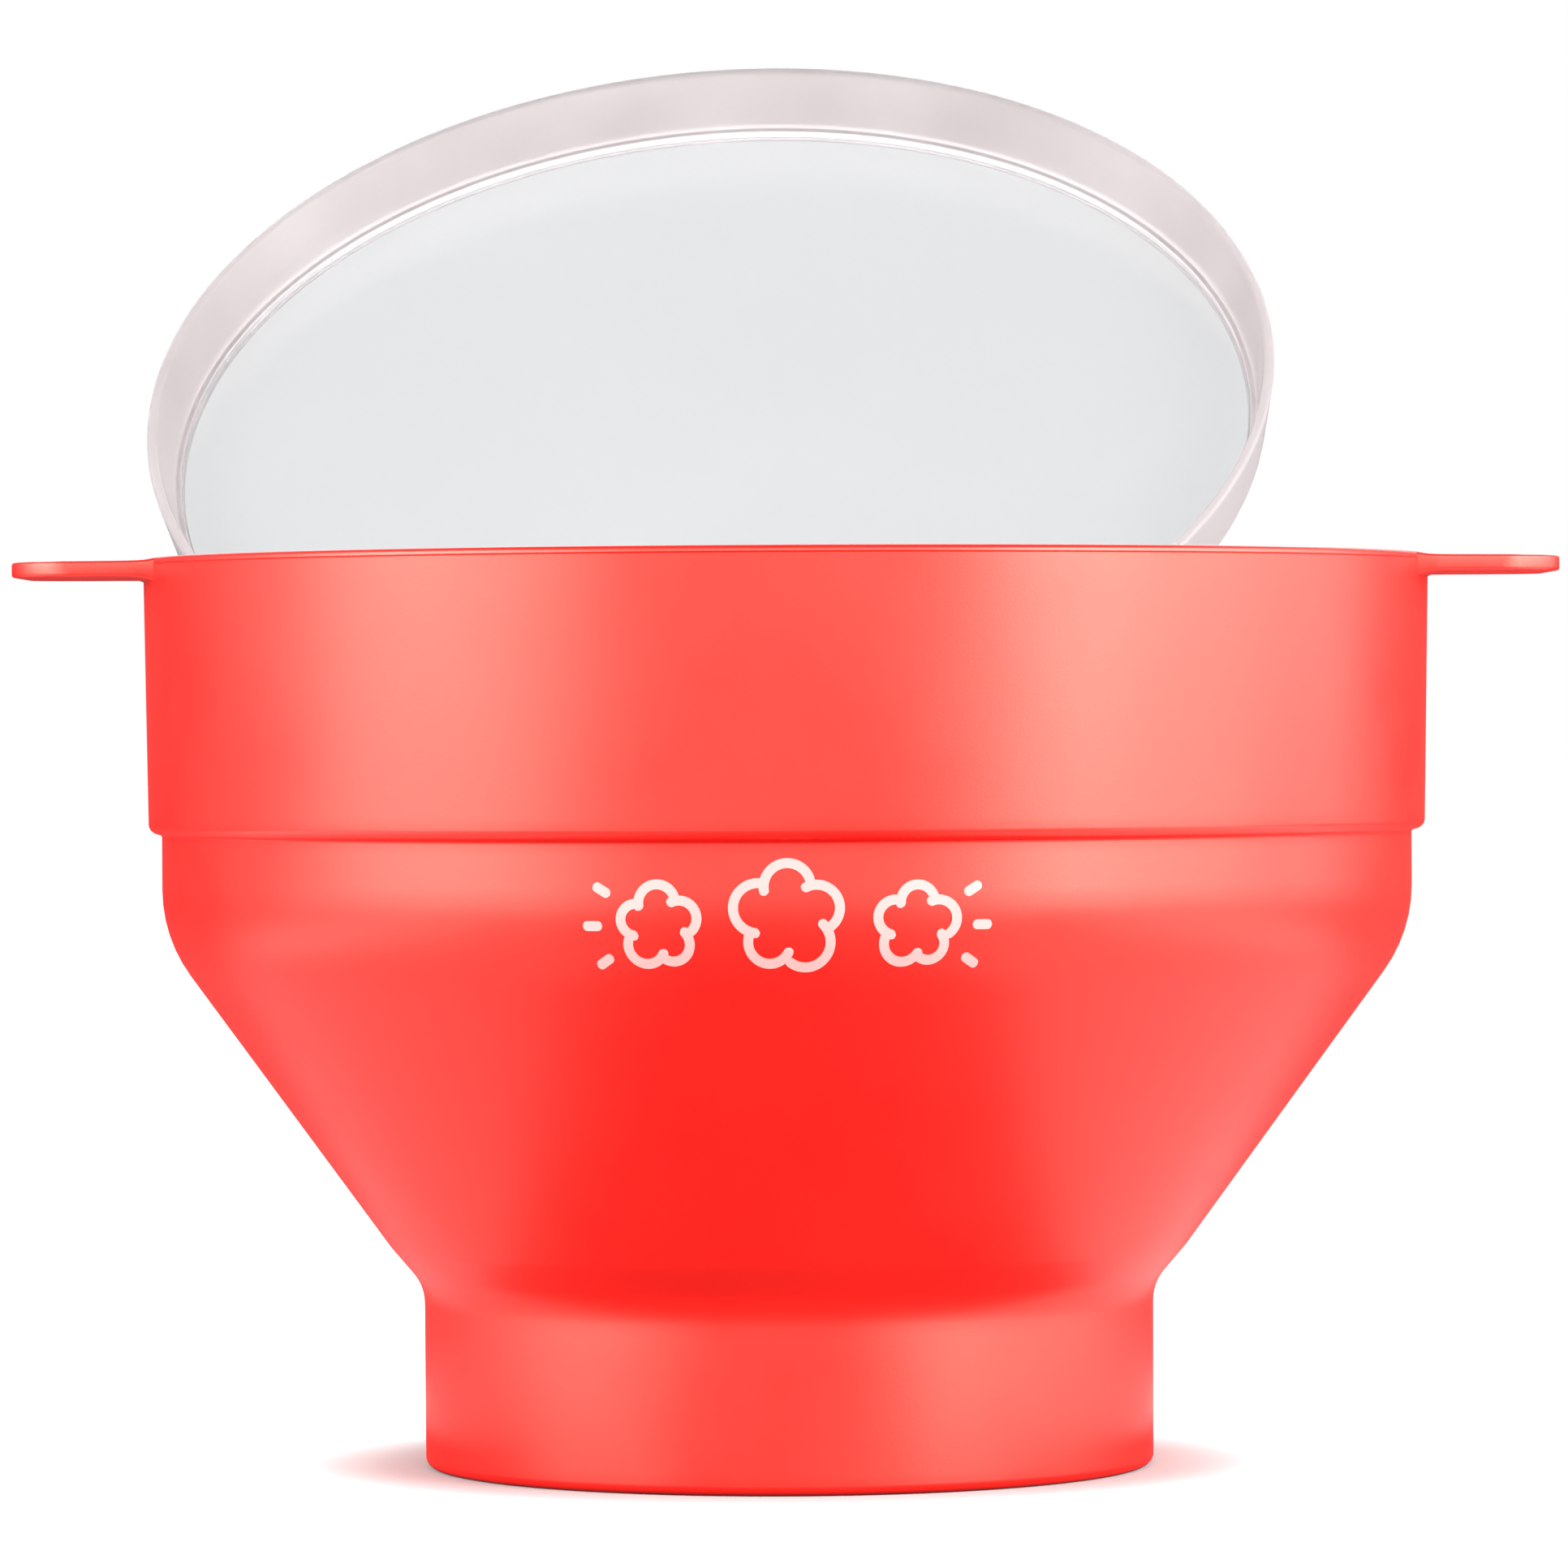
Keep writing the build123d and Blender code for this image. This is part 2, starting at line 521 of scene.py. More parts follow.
@dataclass(frozen=True)
class Finish:
    """A moulded finish: two close tones, satin roughness, fine grain and a few specks of lint.

    Args:
        name: The material's name.
        deep: Linear colour in the hollows of the cloudiness.
        bright: Linear colour on its crests.
        speck: Linear colour of the lint.
        roughness: Middle roughness.
        roughness_spread: How far the cloudiness moves the roughness either way.
        grain_scale: Grains per metre.
        grain_depth: Height of the grain's bump.
        cloud_scale: Clouds per metre.
        lint_share: Share of cells that hold a speck.
        ior: Index of refraction.
        gloss: Strength of the reflection seen face on; 0.5 is what the index of refraction gives.
        gloss_tint: Colour of that reflection.
        alpha: Opacity.
        transmission: Share of light that passes through.
    """

    name: str
    deep: tuple[float, float, float]
    bright: tuple[float, float, float]
    speck: tuple[float, float, float]
    roughness: float
    roughness_spread: float
    grain_scale: float
    grain_depth: float
    cloud_scale: float
    lint_share: float
    ior: float = 1.43
    gloss: float = 0.5
    gloss_tint: tuple[float, float, float] = (1.0, 1.0, 1.0)
    alpha: float = 1.0
    transmission: float = 0.0

    def build(self, effects: Effects) -> bpy.types.Material:
        """Makes the material.

        Args:
            effects: The shared shader groups.

        Returns:
            The new material.
        """
        material = bpy.data.materials.new(self.name)
        material.use_nodes = True
        graph = Graph(material.node_tree)
        shader = material.node_tree.nodes["Principled BSDF"]
        shader.inputs["IOR"].default_value = self.ior
        shader.inputs["Specular IOR Level"].default_value = self.gloss
        shader.inputs["Specular Tint"].default_value = (*self.gloss_tint, 1.0)
        shader.inputs["Alpha"].default_value = self.alpha
        shader.inputs["Transmission Weight"].default_value = self.transmission
        place = graph.add("ShaderNodeTexCoord").outputs["Object"]
        surface = graph.add(
            "ShaderNodeGroup",
            {0: place, 1: self.grain_scale, 2: self.cloud_scale},
            node_tree=effects.grain,
        ).outputs
        lint = graph.add("ShaderNodeGroup", {0: place, 3: self.lint_share}, node_tree=effects.lint)
        tone = graph.add(
            "ShaderNodeMix",
            {0: surface["Cloud"], 6: (*self.deep, 1.0), 7: (*self.bright, 1.0)},
            data_type="RGBA",
        )
        dusted = graph.add(
            "ShaderNodeMix",
            {0: lint.outputs["Specks"], 6: tone.outputs[2], 7: (*self.speck, 1.0)},
            data_type="RGBA",
        )
        rough = graph.add(
            "ShaderNodeMapRange",
            {
                "Value": surface["Cloud"],
                "To Min": self.roughness - self.roughness_spread,
                "To Max": self.roughness + self.roughness_spread,
            },
        )
        bump = graph.add(
            "ShaderNodeBump",
            {"Height": surface["Grain"], "Distance": self.grain_depth, "Strength": 1.0},
        )
        links = material.node_tree.links
        links.new(dusted.outputs[2], shader.inputs["Base Color"])
        links.new(rough.outputs["Result"], shader.inputs["Roughness"])
        links.new(bump.outputs["Normal"], shader.inputs["Normal"])
        return material


RED_SILICONE = Finish(
    name="Red silicone",
    deep=(0.86, 0.0026, 0.0012),
    bright=(0.9, 0.0038, 0.0018),
    speck=(0.62, 0.02, 0.015),
    roughness=0.4,
    roughness_spread=0.03,
    grain_scale=2600.0,
    grain_depth=0.012 * MM,
    cloud_scale=38.0,
    lint_share=0.1,
    ior=1.5,
    gloss=0.85,
    gloss_tint=(1.0, 0.98, 0.8),
)
FROSTED_SILICONE = Finish(
    name="Frosted silicone",
    deep=(0.77, 0.715, 0.72),
    bright=(0.82, 0.77, 0.775),
    speck=(0.6, 0.56, 0.56),
    roughness=0.5,
    roughness_spread=0.04,
    grain_scale=1800.0,
    grain_depth=0.015 * MM,
    cloud_scale=30.0,
    lint_share=0.06,
    ior=1.41,
    transmission=0.82,
)
CLEAR_PANE = Finish(
    name="Clear pane",
    deep=(0.85, 0.91, 0.96),
    bright=(0.88, 0.935, 0.98),
    speck=(0.8, 0.8, 0.82),
    roughness=0.18,
    roughness_spread=0.04,
    grain_scale=700.0,
    grain_depth=0.004 * MM,
    cloud_scale=18.0,
    lint_share=0.05,
    ior=1.41,
    alpha=0.26,
    transmission=0.8,
)
PALE_INK = Finish(
    name="Pale ink",
    deep=(0.7, 0.34, 0.32),
    bright=(0.74, 0.39, 0.37),
    speck=(0.85, 0.5, 0.46),
    roughness=0.5,
    roughness_spread=0.04,
    grain_scale=2600.0,
    grain_depth=0.008 * MM,
    cloud_scale=60.0,
    lint_share=0.05,
)


# ---------------------------------------------------------------- sub-assemblies


def inset_corner(before: Corner, corner: Corner, after: Corner, wall: float, rounding: float) -> Corner:
    """Returns the inner line's corner, one wall thickness inside an outer corner.

    Args:
        before: The outer corner before this one.
        corner: The outer corner.
        after: The outer corner after this one.
        wall: The wall's thickness.
        rounding: The inner corner's own rounding.

    Returns:
        The inner corner.
    """
    spot = Vector((corner.radius, corner.height))
    arriving = (spot - Vector((before.radius, before.height))).normalized()
    leaving = (Vector((after.radius, after.height)) - spot).normalized()
    inward = Vector((-arriving.y - leaving.y, arriving.x + leaving.x))
    shifted = spot + inward * (wall / (1 + arriving.dot(leaving)))
    return Corner(shifted.x, shifted.y, rounding)


@dataclass(frozen=True)
class BowlShell:
    """The bowl's one moulding as one turned skin: base cup, folding wall, shoulder and rim band.

    Args:
        rim_radius: Outer radius at the rim.
        rim_height: Height of the rim's top.
    """

    rim_radius: float
    rim_height: float
    foot_radius: float = 57.0 * MM
    foot_round: float = 1.6 * MM
    recess_radius: float = 50.0 * MM
    recess_depth: float = 0.6 * MM
    neck_radius: float = 57.1 * MM
    neck_height: float = 28.3 * MM
    neck_round: float = 7.5 * MM
    crease_radius: float = 62.3 * MM
    crease_height: float = 34.4 * MM
    crease_round: float = 10.0 * MM
    shoulder_radius: float = 97.7 * MM
    shoulder_height: float = 83.1 * MM
    shoulder_round: float = 23.0 * MM
    step_height: float = 99.0 * MM
    step_round: float = 0.4 * MM
    band_foot_radius: float = 99.75 * MM
    band_foot_height: float = 99.6 * MM
    band_foot_round: float = 1.6 * MM
    wall: float = 2.4 * MM
    floor_thickness: float = 3.0 * MM
    floor_round: float = 5.0 * MM
    rim_round: float = 0.8 * MM
    lip_line_drop: float = 1.0 * MM
    lip_line_depth: float = 0.12 * MM
    fill_mark_height: float = 19.0 * MM
    fill_mark_proud: float = 0.7 * MM
    fold_start: float = 30.0 * MM
    fold_end: float = 86.0 * MM
    spacing: float = 1.8 * MM
    segments: int = 216

    @property
    def shoulder_top(self) -> float:
        """Finds where the shoulder's arc meets the upright wall.

        Returns:
            Its height.
        """
        lean = math.atan2(
            self.shoulder_radius - self.crease_radius, self.shoulder_height - self.crease_height
        )
        return self.shoulder_height + self.shoulder_round * math.tan(lean / 2)

    def outline(self) -> list[Point]:
        """Returns the whole section.

        Returns:
            Points as (radius, height), from the underside's centre round the rim to the floor's centre.
        """
        foot = Corner(self.foot_radius, 0.0, self.foot_round)
        neck = Corner(self.neck_radius, self.neck_height, self.neck_round)
        crease = Corner(self.crease_radius, self.crease_height, self.crease_round)
        shoulder = Corner(self.shoulder_radius, self.shoulder_height, self.shoulder_round)
        step = Corner(self.shoulder_radius, self.step_height, self.step_round)
        band_foot = Corner(self.band_foot_radius, self.band_foot_height, self.band_foot_round)
        rim = Corner(self.rim_radius, self.rim_height, self.rim_round)
        climb = [foot, neck, crease, shoulder, step, band_foot, rim]
        inner_roundings = [
            self.neck_round + self.wall,
            self.crease_round - self.wall,
            self.shoulder_round - self.wall,
            self.step_round,
            self.step_round,
        ]
        inner = [
            inset_corner(*climb[index - 1 : index + 2], self.wall, rounding)
            for index, rounding in zip(range(1, 6), inner_roundings)
        ]
        underside = [
            Corner(0.0, self.recess_depth),
            Corner(self.recess_radius, self.recess_depth, self.recess_depth),
            Corner(self.recess_radius + self.recess_depth * 2, 0.0, self.recess_depth),
        ]
        line_height = self.rim_height - self.lip_line_drop
        lip_line = [
            Corner(self.rim_radius, line_height - self.lip_line_depth),
            Corner(self.rim_radius - self.lip_line_depth, line_height),
            Corner(self.rim_radius, line_height + self.lip_line_depth),
        ]
        bore = self.foot_radius - self.wall
        fill_mark = [
            Corner(bore, self.fill_mark_height + self.fill_mark_proud),
            Corner(bore - self.fill_mark_proud, self.fill_mark_height, self.fill_mark_proud / 2),
            Corner(bore, self.fill_mark_height - self.fill_mark_proud),
        ]
        corners = [
            *underside,
            *climb[:-1],
            *lip_line,
            rim,
            Corner(self.rim_radius - self.wall, self.rim_height, self.rim_round),
            *reversed(inner),
            *fill_mark,
            Corner(bore, self.floor_thickness, self.floor_round),
            Corner(0.0, self.floor_thickness),
        ]
        return rounded_outline(corners, self.spacing)

    def blend(self, piece: bpy.types.Object) -> None:
        """Bakes a piece's placement into its mesh.

        Args:
            piece: The piece.
        """
        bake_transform(piece)

    def build(
        self, lathe: bpy.types.NodeTree, finish: bpy.types.Material, zones: list[str]
    ) -> bpy.types.Object:
        """Makes the skin and lets it stand for every zone of the bowl.

        Args:
            lathe: The lathe tree.
            finish: The bowl's material.
            zones: The frame's nodes that the skin stands for.

        Returns:
            The skin.
        """
        seed = outline_mesh("bowl_section", self.outline(), closed=False)
        mesh = grown("bowl_skin", lathe, seed, {"Segments": self.segments, "Finish": finish})
        skin = placed("bowl_skin", mesh)
        self.blend(skin)
        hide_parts(*zones)
        return skin


@dataclass(frozen=True)
class Grip:
    """A flat tab that sticks out at the rim, with soft edges and a root that flares into the band.

    Args:
        side: Which side of the bowl it is on.
        reach: How far its tip is from the bowl's axis.
        half_width: Half its width at the root.
        underside: Height of its lower face.
        top: Height of its upper face.
        band_radius: Outer radius of the band beside it.
    """

    side: Side
    reach: float
    half_width: float
    underside: float
    top: float
    band_radius: float
    corner_round: float = 9.5 * MM
    edge_round: float = 0.5 * MM
    tip_narrowing: float = 0.1
    narrowing_start: float = 100.0 * MM
    root_depth: float = 1.0 * MM
    root_flare: float = 0.35 * MM
    root_fillet: float = 0.7 * MM
    flare_reach: float = 1.4 * MM
    droop: float = 0.1 * MM
    underside_droop_share: float = 0.6
    root_steps: tuple[float, ...] = (0.0, 0.5 * MM, 1.0 * MM, 1.4 * MM, 1.9 * MM, 2.6 * MM, 3.6 * MM)
    edge_steps: int = 6
    flat_steps: int = 22

    def outer_x(self, y: float) -> float:
        """Finds how far the tab reaches at one y, before it narrows.

        Args:
            y: Distance from the tab's middle line.

        Returns:
            Distance from the bowl's axis.
        """
        past = max(0.0, abs(y) - (self.half_width - self.corner_round))
        inset = self.corner_round - math.sqrt(max(0.0, self.corner_round**2 - past**2))
        return self.reach - inset

    def edge_distance(self, x: float, y: float) -> float:
        """Finds how deep inside the tab's outline a point of its plan lies, before it narrows.

        Args:
            x: Distance from the bowl's axis.
            y: Distance from the tab's middle line.

        Returns:
            Distance from the nearest edge.
        """
        across = abs(y) - (self.half_width - self.corner_round)
        out = x - (self.reach - self.corner_round)
        beyond = math.hypot(max(across, 0.0), max(out, 0.0))
        return self.corner_round - beyond - min(0.0, max(across, out))

    def edge_ladder(self) -> list[float]:
        """Returns distances from an edge that step evenly round its soft corner."""
        quarter = math.pi / 2 / self.edge_steps
        return [self.edge_round * (1 - math.cos(quarter * step)) for step in range(self.edge_steps + 1)]

    def lateral_places(self) -> list[float]:
        """Returns the plan's y places, close together at both sides.

        Returns:
            The places in order from one side to the other.
        """
        side = [self.half_width - inset for inset in self.edge_ladder()]
        inner = side[-1]
        middle = [inner - 2 * inner * step / self.flat_steps for step in range(1, self.flat_steps)]
        return [*side, *middle, *[-y for y in reversed(side)]]

    def outward_places(self, y: float) -> list[float]:
        """Steps out along the plan at one y, with small steps at the root and at the edge.

        Args:
            y: Distance from the tab's middle line.

        Returns:
            The x places in order.
        """
        root = self.band_radius - self.root_depth
        start = math.sqrt(root**2 - y**2)
        end = self.outer_x(y)
        near = [start + step for step in self.root_steps]
        far = [end - inset for inset in reversed(self.edge_ladder())]
        stride = (far[0] - near[-1]) / self.flat_steps
        middle = [near[-1] + stride * step for step in range(1, self.flat_steps)]
        return [*near, *middle, *far]

    def surface_point(self, x: float, y: float, upper: bool) -> tuple[float, float, float]:
        """Finds the point of the upper or lower face over a place in the plan.

        Args:
            x: Distance from the bowl's axis.
            y: Distance from the tab's middle line.
            upper: Whether it is the upper face.

        Returns:
            The point.
        """
        inside = min(max(self.edge_distance(x, y), 0.0), self.edge_round)
        soft = self.edge_round - math.sqrt(self.edge_round**2 - (self.edge_round - inside) ** 2)
        from_wall = max(0.0, math.hypot(x, y) - self.band_radius)
        flare = math.exp(-from_wall / self.flare_reach)
        out = (x - self.band_radius) / (self.reach - self.band_radius)
        sag = self.droop * max(out, 0.0) ** 2
        if upper:
            height = self.top - soft + self.root_flare * flare - sag
        else:
            height = self.underside + soft - self.root_fillet * flare - sag * self.underside_droop_share
        past = max(0.0, x - self.narrowing_start) / (self.reach - self.narrowing_start)
        return (self.side.value * x, y * (1 - self.tip_narrowing * past), height)

    def build(self, finish: bpy.types.Material) -> bpy.types.Object:
        """Makes the tab and hangs it on the band.

        Args:
            finish: The bowl's material.

        Returns:
            The tab.
        """
        label = self.side.name.lower()
        work = bmesh.new()
        sheets = []
        for upper in (True, False):
            rows = []
            for y in self.lateral_places():
                spots = [self.surface_point(x, y, upper) for x in self.outward_places(y)]
                rows.append([work.verts.new(spot) for spot in spots])
            sheets.append(rows)
        for rows in sheets:
            for row, following in zip(rows, rows[1:]):
                for index in range(len(row) - 1):
                    work.faces.new((row[index], row[index + 1], following[index + 1], following[index]))
        for top_line, low_line in zip(rim_lines(sheets[0]), rim_lines(sheets[1])):
            for index in range(len(top_line) - 1):
                work.faces.new(
                    (top_line[index], top_line[index + 1], low_line[index + 1], low_line[index])
                )
        mesh = bpy.data.meshes.new(f"{label}_grip_tab")
        work.to_mesh(mesh)
        work.free()
        mesh.materials.append(finish)
        tidy_mesh(mesh)
        tab = placed(f"{label}_grip_tab", mesh)
        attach(tab, Body.BAND.value)
        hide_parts(f"grip_{label}")
        return tab


def rim_lines(rows: list[list[bmesh.types.BMVert]]) -> list[list[bmesh.types.BMVert]]:
    """Returns the four border lines of a sheet of points.

    Args:
        rows: The sheet's points, row by row.
    """
    return [rows[0], rows[-1], [row[0] for row in rows], [row[-1] for row in rows]]


@dataclass(frozen=True)
class KernelPrint:
    """A generic line drawing of popped kernels, printed on the bowl's front below the step.

    Args:
        shell: The bowl that it is printed on.
    """

    shell: BowlShell
    middle_height: float = 88.0 * MM
    stroke_width: float = 1.45 * MM
    ink_height: float = 0.16 * MM
    kernel_sizes: tuple[float, ...] = (6.0 * MM, 8.0 * MM, 6.0 * MM)
    kernel_pitch: float = 19.0 * MM
    kernel_drop: float = 1.2 * MM
    lobes: int = 5
    lobe_reach: float = 0.56
    lobe_size: float = 0.43
    lobe_spread: float = 0.09
    lobe_rhythm: float = 2.4
    lobe_start: float = 84.0
    lobe_curl: float = 112.0
    steps: int = 90
    least_steps: int = 8
    kernel_turn: float = 70.0
    mark_gap: float = 2.4 * MM
    mark_length: float = 3.0 * MM
    mark_tilts: tuple[int, ...] = (-32, 0, 32)

    def arc(self, centre: Point, radius: float, start: float, sweep: float) -> list[Point]:
        """Draws an arc.

        Args:
            centre: Its centre.
            radius: Its radius.
            start: The angle that it starts at, in degrees.
            sweep: How far it turns, in degrees.

        Returns:
            Its points.
        """
        count = max(self.least_steps, int(self.steps * sweep / 360))
        angles = [math.radians(start + sweep * step / count) for step in range(count + 1)]
        return [(centre[0] + radius * math.cos(a), centre[1] + radius * math.sin(a)) for a in angles]

    def kernel(self, centre: Point, size: float, turn: float) -> list[list[Point]]:
        """Draws a popped kernel: a ring of lobes, each of which curls in over the next.

        Args:
            centre: Its middle, as distance round the wall and height.
            size: Its largest radius.
            turn: How far it is turned, in degrees.

        Returns:
            The strokes.
        """
        strokes = []
        for lobe in range(self.lobes):
            heading = turn + lobe * 360 / self.lobes
            swell = 1 + self.lobe_spread * math.sin(lobe * self.lobe_rhythm)
            ray = (math.cos(math.radians(heading)), math.sin(math.radians(heading)))
            reach = size * self.lobe_reach
            hub = (centre[0] + reach * ray[0], centre[1] + reach * ray[1])
            sweep = self.lobe_start + self.lobe_curl
            strokes.append(self.arc(hub, size * self.lobe_size * swell, heading - self.lobe_start, sweep))
        return strokes

    def pop_marks(self, side: int) -> list[list[Point]]:
        """Draws three short strokes that fan out beside the outer kernel of one side.

        Args:
            side: -1 for the left kernel, 1 for the right one.

        Returns:
            The strokes.
        """
        hub = (side * self.kernel_pitch, self.middle_height - self.kernel_drop)
        inner = self.kernel_sizes[0] + self.mark_gap
        outer = inner + self.mark_length
        marks = []
        for tilt in self.mark_tilts:
            heading = math.radians(tilt)
            ray = (side * math.cos(heading), math.sin(heading))
            marks.append([(hub[0] + reach * ray[0], hub[1] + reach * ray[1]) for reach in (inner, outer)])
        return marks

    def strokes(self) -> list[list[Point]]:
        """Returns every stroke of the drawing.

        Returns:
            The pop marks' strokes, then each kernel's.
        """
        drawn = self.pop_marks(-1) + self.pop_marks(1)
        for index, size in enumerate(self.kernel_sizes):
            place = index - (len(self.kernel_sizes) - 1) / 2
            centre = (place * self.kernel_pitch, self.middle_height - abs(place) * self.kernel_drop)
            drawn += self.kernel(centre, size, turn=90 + place * self.kernel_turn)
        return drawn

    def build(self, ink_tree: bpy.types.NodeTree, finish: bpy.types.Material) -> bpy.types.Object:
        """Makes the print, wrapped round the wall.

        Args:
            ink_tree: The ink stroke tree.
            finish: The ink's material.

        Returns:
            The print.
        """
        points, edges = [], []
        for stroke in self.strokes():
            first = len(points)
            points += [(x, y, 0.0) for x, y in stroke]
            edges += [(first + index, first + index + 1) for index in range(len(stroke) - 1)]
        seed = bpy.data.meshes.new("kernel_strokes")
        seed.from_pydata(points, edges, [])
        inputs = {
            "Stroke Width": self.stroke_width,
            "Ink Height": self.ink_height,
            "Wall Radius": self.shell.shoulder_radius,
            "Shoulder Top": self.shell.shoulder_top,
            "Shoulder Round": self.shell.shoulder_round,
            "Finish": finish,
        }
        ink = placed("kernel_print", grown("kernel_print", ink_tree, seed, inputs))
        self.shell.blend(ink)
        return ink


@dataclass(frozen=True)
class Lid:
    """The lid: a frosted dished wall and a clear pane, built closed and then swung open on its joint.

    Args:
        seat: Height of the lip when the lid is closed.
        opening: Turns the closed lid to where it leans at rest.
    """

    seat: float
    opening: Matrix
    lip_radius: float = 101.0 * MM
    lip_width: float = 1.8 * MM
    lip_round: float = 0.6 * MM
    depth: float = 13.4 * MM
    taper: float = 2.4 * MM
    shoulder_round: float = 3.0 * MM
    pane_radius: float = 96.2 * MM
    pane_thickness: float = 1.2 * MM
    bead: float = 1.0 * MM
    cover: float = 0.5 * MM
    cover_thickness: float = 0.8 * MM
    edge_round: float = 0.3 * MM
    fit_gap: float = 0.05 * MM
    spacing: float = 1.6 * MM
    pane_spacing: float = 6.4 * MM
    segments: int = 240

    def wall_outline(self) -> list[Point]:
        """Returns the frosted wall's closed section.

        Returns:
            Points as (radius, height), without the first one repeated.
        """
        pane_top = self.seat + self.depth - self.cover_thickness
        pane_low = pane_top - self.pane_thickness
        top = self.seat + self.depth
        inner_foot = self.lip_radius - self.lip_width
        middle = Corner(self.lip_radius - self.lip_width / 2, self.seat)
        corners = [
            middle,
            Corner(self.lip_radius, self.seat, self.lip_round),
            Corner(self.lip_radius - self.taper, top, self.shoulder_round),
            Corner(self.pane_radius - self.cover, top, self.edge_round),
            Corner(self.pane_radius - self.cover, pane_top, self.edge_round),
            Corner(self.pane_radius, pane_top),
            Corner(self.pane_radius, pane_low, self.edge_round),
            Corner(self.pane_radius + self.bead, pane_low, self.edge_round),
            Corner(inner_foot, self.seat, self.lip_round),
            middle,
        ]
        return rounded_outline(corners, self.spacing)[:-1]

    def pane_outline(self) -> list[Point]:
        """Returns the pane's section, from its centre out and back.

        Returns:
            Points as (radius, height).
        """
        top = self.seat + self.depth - self.cover_thickness - self.fit_gap
        low = self.seat + self.depth - self.cover_thickness - self.pane_thickness
        edge = self.pane_radius - self.fit_gap
        corners = [
            Corner(0.0, low),
            Corner(edge, low, self.edge_round),
            Corner(edge, top, self.edge_round),
            Corner(0.0, top),
        ]
        return rounded_outline(corners, self.pane_spacing)

    def swung(self, name: str, mesh: bpy.types.Mesh) -> bpy.types.Object:
        """Swings a closed mesh open and hangs it on the lid's body.

        Args:
            name: The piece's name.
            mesh: Its mesh, with the lid closed.

        Returns:
            The piece.
        """
        mesh.transform(self.opening)
        piece = placed(name, mesh)
        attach(piece, Body.LID.value)
        return piece

    def build(
        self, lathe: bpy.types.NodeTree, wall: bpy.types.Material, pane: bpy.types.Material
    ) -> list[bpy.types.Object]:
        """Makes the wall and the pane.

        Args:
            lathe: The lathe tree.
            wall: The frosted material.
            pane: The clear material.

        Returns:
            The two pieces.
        """
        wall_seed = outline_mesh("lid_wall_section", self.wall_outline(), closed=True)
        wall_mesh = grown("lid_wall", lathe, wall_seed, {"Segments": self.segments, "Finish": wall})
        ring = self.swung("lid_wall", wall_mesh)
        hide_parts("lid_ring")
        pane_seed = outline_mesh("lid_pane_section", self.pane_outline(), closed=False)
        pane_mesh = grown("lid_pane", lathe, pane_seed, {"Segments": self.segments, "Finish": pane})
        sheet = self.swung("lid_pane", pane_mesh)
        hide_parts("lid_window")
        return [ring, sheet]


# ---------------------------------------------------------------- studio


BOWL_MIDDLE = Vector((0.0, 0.0, 90 * MM))


@dataclass(frozen=True)
class Softbox:
    """One soft lamp, placed round the bowl's axis.

    Args:
        name: The lamp's name.
        bearing: Degrees round from straight in front, positive towards the right grip.
        distance: How far its middle is from the bowl's axis.
        height: How far its middle is above the floor.
        width: Its width.
        length: Its other side.
        radiance: How bright its face is.
        faces_up: Whether it lies on the floor as a card and shines upwards.
    """

    name: str
    bearing: float
    distance: float
    height: float
    width: float
    length: float
    radiance: float
    faces_up: bool = False

    def build(self) -> None:
        """Makes the lamp, hidden from the camera, and turns it to the bowl or straight up."""
        lamp = bpy.data.lights.new(self.name, "AREA")
        lamp.shape = "RECTANGLE"
        lamp.size, lamp.size_y = self.width, self.length
        lamp.energy = self.radiance * math.pi * self.width * self.length
        box = bpy.data.objects.new(self.name, lamp)
        heading = math.radians(self.bearing)
        ahead = (math.sin(heading), -math.cos(heading))
        box.location = (self.distance * ahead[0], self.distance * ahead[1], self.height)
        aim = Vector((0.0, 0.0, 1.0)) if self.faces_up else BOWL_MIDDLE - box.location
        box.rotation_euler = aim.to_track_quat("-Z", "Y").to_euler()
        box.visible_camera = False
        bpy.context.scene.collection.objects.link(box)


